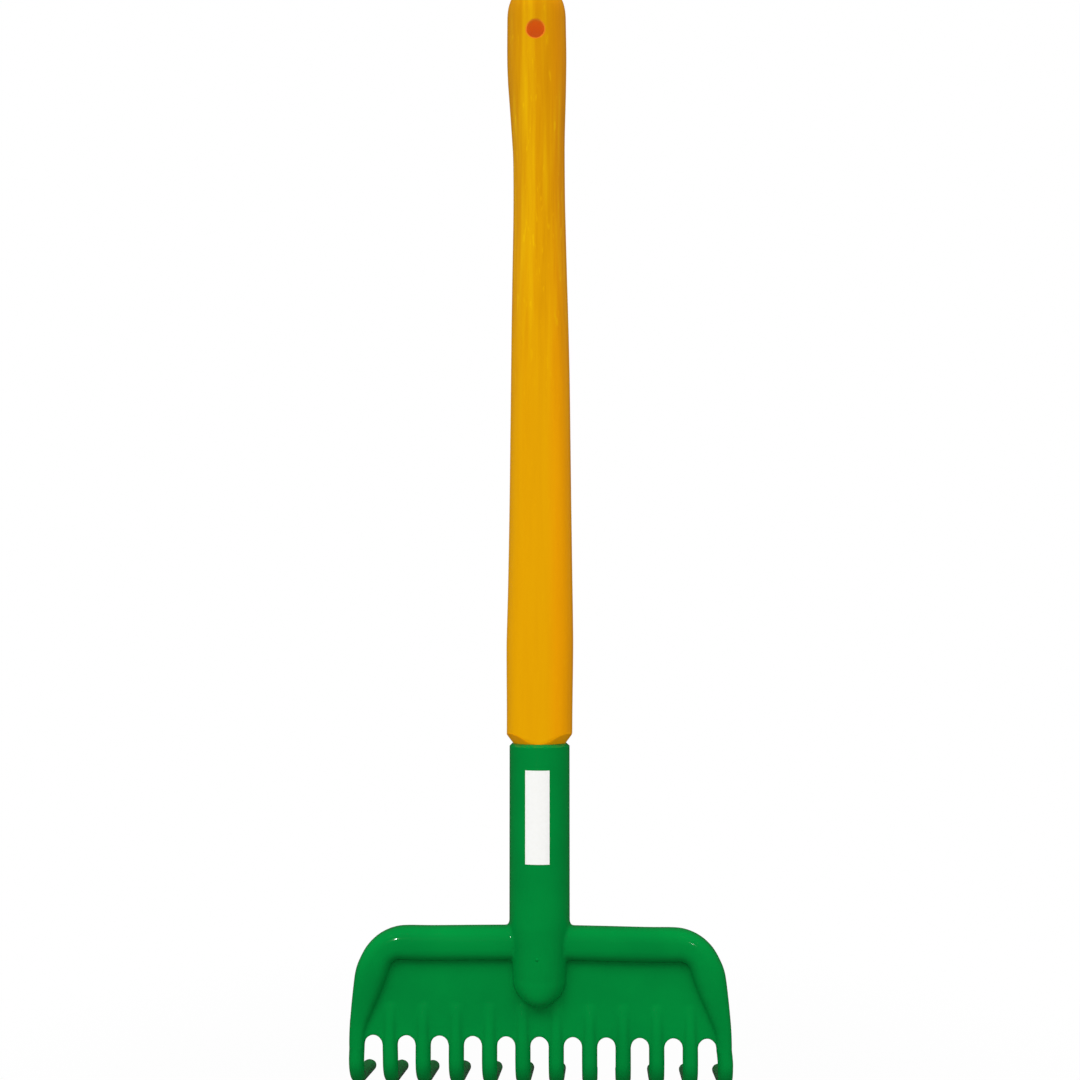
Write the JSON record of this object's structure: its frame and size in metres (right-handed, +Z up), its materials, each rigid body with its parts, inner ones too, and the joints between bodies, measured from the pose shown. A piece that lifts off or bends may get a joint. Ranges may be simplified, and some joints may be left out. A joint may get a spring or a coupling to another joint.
{
  "type": "toy rake",
  "caption": "Children's sand rake: a lacquered wooden stick with a hanging hole, set in a moulded plastic head with round-tipped tines that bend back under a flat plate.",
  "frame": {"origin": "middle of the hanging hole near the top of the stick", "axes": "+Z up the stick, away from the head; +X to the right as seen from the front; +Y to the back, where the tines point"},
  "size_m": [0.1702, 0.055, 0.5045],
  "materials": {
    "lacquered_beech": "clear-topped yellow lacquer, satin gloss, faint lengthwise grain",
    "green_polypropylene": "moulded, semi-gloss",
    "label_film": "bare white film, satin",
    "zinc_plated_steel": "bright zinc plating"
  },
  "bodies": {
    "root": {"handle": "lacquered_beech", "rake_head": "green_polypropylene", "label": "label_film", "fixing_screw": "zinc_plated_steel"}
  },
  "joints": []
}
